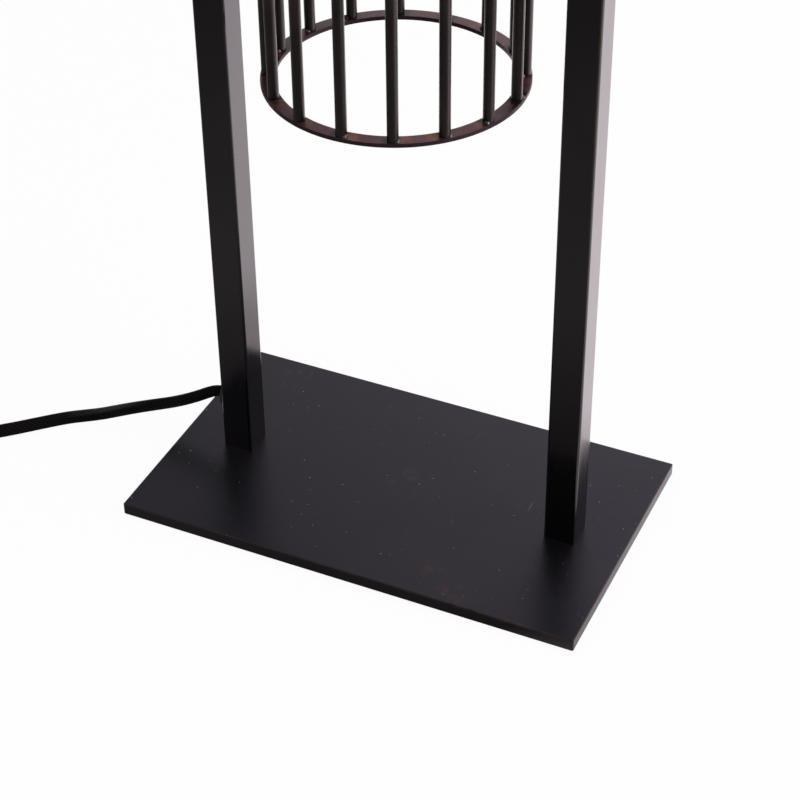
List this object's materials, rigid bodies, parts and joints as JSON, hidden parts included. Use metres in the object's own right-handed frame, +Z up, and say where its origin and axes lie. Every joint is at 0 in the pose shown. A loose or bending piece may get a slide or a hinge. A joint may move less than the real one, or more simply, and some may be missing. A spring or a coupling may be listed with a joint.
{
  "type": "table lamp",
  "caption": "Table lamp: a black portal frame of square tube on a flat plate, with a round cage of rods that hangs from the top bar round a bulb, and a cord with a switch and a plug.",
  "frame": {"origin": "on the table, under the middle of the plate, at the underside of its pads", "axes": "+Z up along the posts, +X along the plate's long side towards the post without the cord, -Y to the front"},
  "size_m": [0.592, 0.1521, 0.47],
  "materials": {
    "plate_steel": "satin black lacquer with faint wear",
    "frame_steel": "satin black lacquer",
    "cage_steel": "semi-gloss black lacquer over dark bronze",
    "ring_steel": "dark bronze lacquer, semi-gloss",
    "bright_steel": "zinc plated",
    "black_sleeve": "satin black lacquer",
    "pad_rubber": "matt",
    "holder_plastic": "black moulded phenolic, low gloss",
    "holder_ceramic": "white glazed",
    "contact_brass": "plain",
    "bulb_glass": "clear",
    "bulb_cap_metal": "nickel plated, threaded",
    "bulb_insulator": "black glass",
    "solder": "soldered",
    "filament": "yellow phosphor coat",
    "bushing_plastic": "matt",
    "cord_braid": "black textile braid",
    "conductor_skin": "smooth",
    "tie_plastic": "smooth",
    "switch_plastic": "black, low gloss",
    "rocker_plastic": "black, glossy",
    "plug_plastic": "black, fine grain",
    "pin_metal": "nickel plated",
    "sleeve_plastic": "smooth"
  },
  "bodies": {
    "lamp": {"base_plate": "plate_steel", "base_pads": "pad_rubber", "foot_screws": "bright_steel", "left_foot_plug": "bright_steel", "right_foot_plug": "bright_steel", "left_post": "frame_steel", "right_post": "frame_steel", "top_bar": "frame_steel", "cable_bushing": "bushing_plastic", "cage_bottom_ring": "ring_steel", "cage_top_ring": "ring_steel", "cage_spider": "cage_steel", "hanger_bush": "bright_steel", "hanger_nipple": "bright_steel", "hanger_sleeve": "black_sleeve", "hanger_washers": "bright_steel", "hanger_nut": "bright_steel", "holder_cap": "holder_plastic", "holder_skirt": "holder_plastic", "holder_insert": "holder_ceramic", "holder_contacts": "contact_brass", "holder_screws": "bright_steel", "inner_lead": "cord_braid", "conductors": "conductor_skin", "cord_lead": "cord_braid", "cord_link": "cord_braid", "cord_coil": "cord_braid", "cord_tail": "cord_braid", "coil_tie": "tie_plastic", "switch_base": "switch_plastic", "switch_cover": "switch_plastic", "switch_contacts": "contact_brass", "switch_screws": "bright_steel", "plug_body": "plug_plastic", "plug_pins": "pin_metal", "plug_pin_sleeves": "sleeve_plastic", "plug_relief": "plug_plastic", "cage_rod_01": "cage_steel", "cage_rod_02": "cage_steel", "cage_rod_03": "cage_steel", "cage_rod_04": "cage_steel", "cage_rod_05": "cage_steel", "cage_rod_06": "cage_steel", "cage_rod_07": "cage_steel", "cage_rod_08": "cage_steel", "cage_rod_09": "cage_steel", "cage_rod_10": "cage_steel", "cage_rod_11": "cage_steel", "cage_rod_12": "cage_steel", "cage_rod_13": "cage_steel", "cage_rod_14": "cage_steel", "cage_rod_15": "cage_steel", "cage_rod_16": "cage_steel"},
    "bulb": {"bulb_glass": "bulb_glass", "bulb_cap": "bulb_cap_metal", "bulb_insulator": "bulb_insulator", "bulb_contact": "solder", "bulb_stem": "bulb_glass", "bulb_filaments": "filament"},
    "rocker": {"switch_rocker": "rocker_plastic"}
  },
  "joints": [
    {"name": "rocker_tilt", "type": "hinge", "parent": "lamp", "child": "rocker", "pos_m": [-0.28, -0.06, 0.0124], "axis": [0, 1, 0], "range_deg": [0, 18]},
    {"name": "bulb_turn", "type": "hinge", "parent": "lamp", "child": "bulb", "pos_m": [0, 0, 0.38], "axis": [0, 0, 1], "continuous": true}
  ]
}
